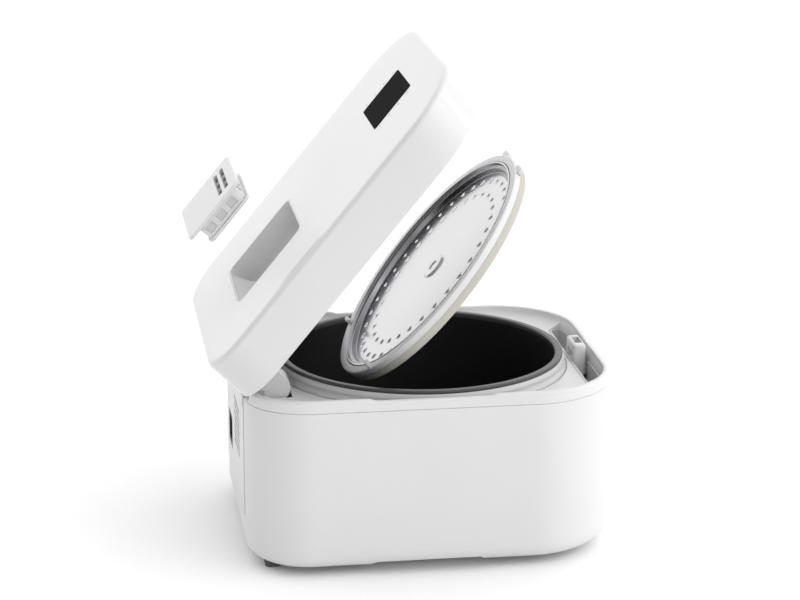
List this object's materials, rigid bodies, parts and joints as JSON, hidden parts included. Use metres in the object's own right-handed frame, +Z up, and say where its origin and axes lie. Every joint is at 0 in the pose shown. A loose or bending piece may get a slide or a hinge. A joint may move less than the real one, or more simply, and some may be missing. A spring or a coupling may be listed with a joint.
{
  "type": "rice cooker",
  "caption": "Rounded white induction rice cooker with an open hinged lid, removable pot, detachable inner lid and lift-out steam cap.",
  "frame": {"origin": "on the table plane, under the axis of the pot, at the centre of the base cover's foot ring", "axes": "+Z up, -Y towards the front and its latch, +Y towards the hinge, X across"},
  "size_m": [0.25, 0.329, 0.391],
  "materials": {
    "shell_white": "satin",
    "lid_white": "gloss",
    "frame_white": "satin",
    "collar_grey": "satin",
    "liner_white": "satin",
    "pocket_grey": "satin",
    "cap_white": "gloss",
    "pot_coating": "nonstick coating",
    "steel": "brushed",
    "bright_plate": "polished",
    "silicone": "matt",
    "rubber_foot": "matt",
    "copper_coil": "enamelled wire",
    "ferrite": "matt",
    "board": "satin",
    "component_black": "satin",
    "dark_plastic": "satin",
    "brass_pin": "satin",
    "heat_sink": "satin",
    "display_black": "gloss"
  },
  "bodies": {
    "base": {"body_shell": "shell_white", "top_frame": "frame_white", "latch_tray": "collar_grey", "pot_collar": "collar_grey", "heat_well": "steel", "base_cover": "shell_white", "front_feet": "rubber_foot", "rear_feet": "rubber_foot", "rear_cover": "shell_white", "coil_carrier": "dark_plastic", "induction_coil": "copper_coil", "ferrite_bars": "ferrite", "sensor_sleeve": "liner_white", "sensor_spring": "steel", "power_board": "board", "board_capacitors": "component_black", "heat_sink": "heat_sink", "fan_frame": "component_black", "inlet_socket": "dark_plastic", "inlet_pins": "brass_pin", "hinge_bracket": "steel", "hinge_pin": "steel", "lid_springs": "steel", "catch_springs": "steel", "base_screws": "steel"},
    "pot": {"inner_pot": "pot_coating"},
    "sensor": {"sensor_puck": "bright_plate"},
    "fan": {"fan_rotor": "component_black"},
    "catch": {"catch_block": "frame_white", "release_button": "shell_white"},
    "lid": {"lid_shell": "lid_white", "lid_liner": "liner_white", "inner_lid_clips": "liner_white", "lid_hook": "frame_white", "steam_seal": "silicone", "display_window": "display_black", "display_module": "component_black", "control_board": "board", "board_chips": "component_black", "touch_springs": "steel", "board_posts": "liner_white", "steam_pocket": "pocket_grey", "hinge_ears": "frame_white"},
    "inner_lid": {"inner_lid_ring": "frame_white", "inner_lid_plate": "bright_plate", "inner_lid_gasket": "silicone", "inner_lid_rivet": "bright_plate"},
    "cap": {"cap_cover": "cap_white", "cap_box": "cap_white", "cap_base": "cap_white", "cap_baffle": "cap_white", "cap_seal": "silicone"}
  },
  "joints": [
    {"name": "lid_hinge", "type": "hinge", "parent": "base", "child": "lid", "pos_m": [0, 0.1435, 0.1375], "axis": [-1, 0, 0], "range_deg": [-50.4, 16], "stiffness_Nm_per_rad": 0.5, "springref_deg": 51.57, "deforming": ["lid_springs"]},
    {"name": "inner_lid_out", "type": "slide", "parent": "lid", "child": "inner_lid", "axis": [0, -0.8544, -0.5196], "range_m": [-0.0833, 0.027]},
    {"name": "cap_pull", "type": "slide", "parent": "lid", "child": "cap", "axis": [0, 0.7705, 0.6374], "range_m": [-0.062, 0]},
    {"name": "pot_lift", "type": "slide", "parent": "base", "child": "pot", "axis": [0, 0, 1], "range_m": [0, 0.03]},
    {"name": "sensor_press", "type": "slide", "parent": "base", "child": "sensor", "axis": [0, 0, 1], "range_m": [-0.002, 0.0003], "stiffness_N_per_m": 400, "springref_m": 0.0003, "deforming": ["sensor_spring"]},
    {"name": "release_press", "type": "slide", "parent": "base", "child": "catch", "axis": [0, -1, 0], "range_m": [0, 0.0026], "stiffness_N_per_m": 500, "springref_m": 0.0026, "deforming": ["catch_springs"]},
    {"name": "fan_spin", "type": "hinge", "parent": "base", "child": "fan", "pos_m": [-0.018, 0.14, 0.092], "axis": [0, 1, 0], "continuous": true}
  ],
  "couplings": [
    {"joint": "inner_lid_out", "follows": "lid_hinge", "m_per_rad": 0.09455}
  ]
}
